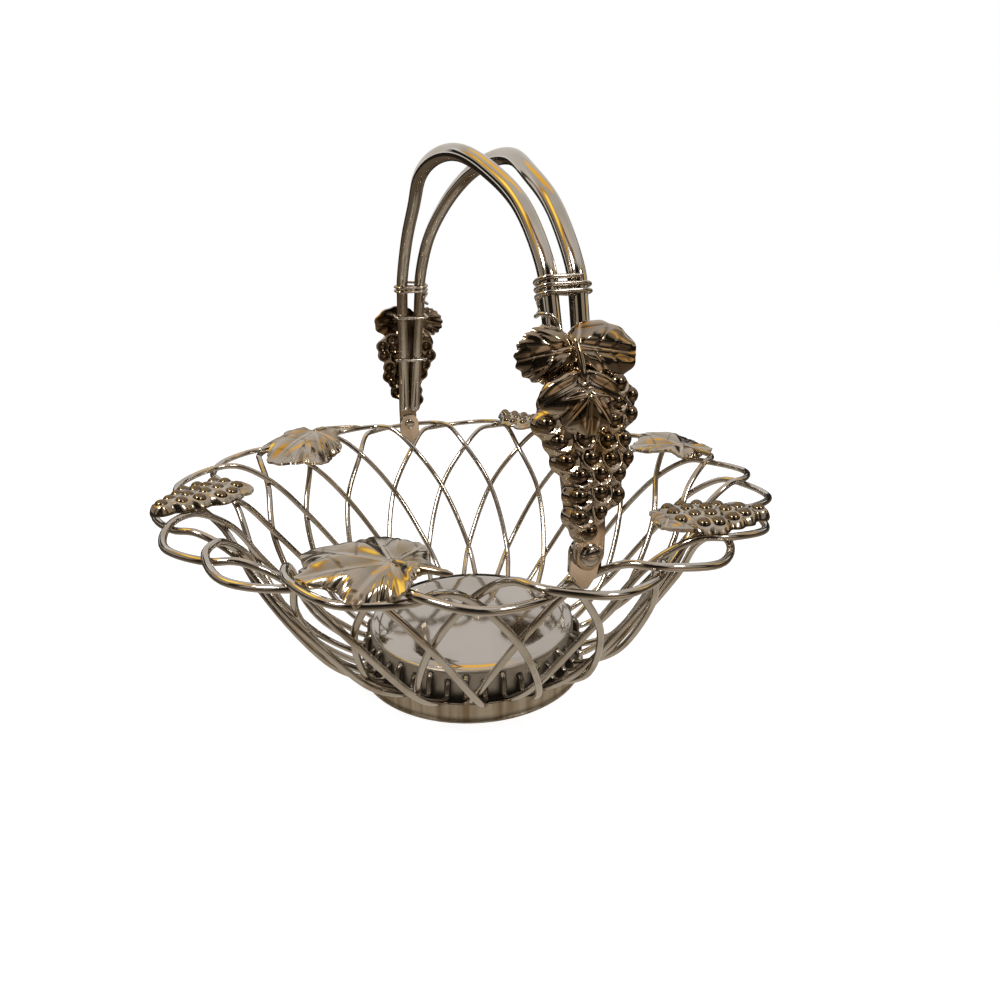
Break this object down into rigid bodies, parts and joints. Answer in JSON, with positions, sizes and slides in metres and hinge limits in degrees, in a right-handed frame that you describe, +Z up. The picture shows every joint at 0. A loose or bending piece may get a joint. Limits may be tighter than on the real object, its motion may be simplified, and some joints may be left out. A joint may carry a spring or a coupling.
{
  "type": "bread basket with swing handle",
  "caption": "Openwork bread basket of crossing bent wires on a round foot, with an arched swing handle of paired tubes and cast vine ornaments",
  "frame": {"origin": "middle of the foot's underside", "axes": "+Z up, +Y along the hinge line towards the back hinge, +X to the right of it"},
  "size_m": [0.284, 0.284, 0.2468],
  "materials": {
    "plated_wire": "bright silver plate on drawn wire and tube",
    "plated_strip": "silver plate on rolled strip, lightly worn",
    "polished_disc": "mirror-polished silver plate",
    "cast_ornament": "silver-plated castings, dark in their hollows"
  },
  "bodies": {
    "basket": {"foot_band": "plated_strip", "base_plate": "polished_disc", "loop_wire_01": "plated_wire", "loop_wire_02": "plated_wire", "loop_wire_03": "plated_wire", "loop_wire_04": "plated_wire", "loop_wire_05": "plated_wire", "loop_wire_06": "plated_wire", "loop_wire_07": "plated_wire", "loop_wire_08": "plated_wire", "loop_wire_09": "plated_wire", "loop_wire_10": "plated_wire", "loop_wire_11": "plated_wire", "loop_wire_12": "plated_wire", "loop_wire_13": "plated_wire", "loop_wire_14": "plated_wire", "loop_wire_15": "plated_wire", "loop_wire_16": "plated_wire", "loop_wire_17": "plated_wire", "loop_wire_18": "plated_wire", "loop_wire_19": "plated_wire", "loop_wire_20": "plated_wire", "rim_leaf_1": "cast_ornament", "rim_leaf_2": "cast_ornament", "rim_leaf_3": "cast_ornament", "rim_grapes_1": "cast_ornament", "rim_grapes_2": "cast_ornament", "rim_grapes_3": "cast_ornament", "hinge_lug_back": "plated_wire", "hinge_lug_front": "plated_wire", "hinge_rivet_back": "plated_wire", "hinge_rivet_front": "plated_wire"},
    "handle": {"handle_tube_right": "plated_wire", "handle_tube_left": "plated_wire", "handle_strap_back": "plated_wire", "handle_strap_front": "plated_wire", "binding_wire_back": "plated_wire", "binding_wire_front": "plated_wire", "vine_cluster_back": "cast_ornament", "vine_cluster_front": "cast_ornament", "cluster_tie_back_1": "plated_wire", "cluster_tie_back_2": "plated_wire", "cluster_tie_front_1": "plated_wire", "cluster_tie_front_2": "plated_wire"}
  },
  "joints": [
    {"name": "handle_swing", "type": "hinge", "parent": "basket", "child": "handle", "pos_m": [0, 0, 0.1065], "axis": [0, 1, 0], "range_deg": [-60, 60]}
  ]
}
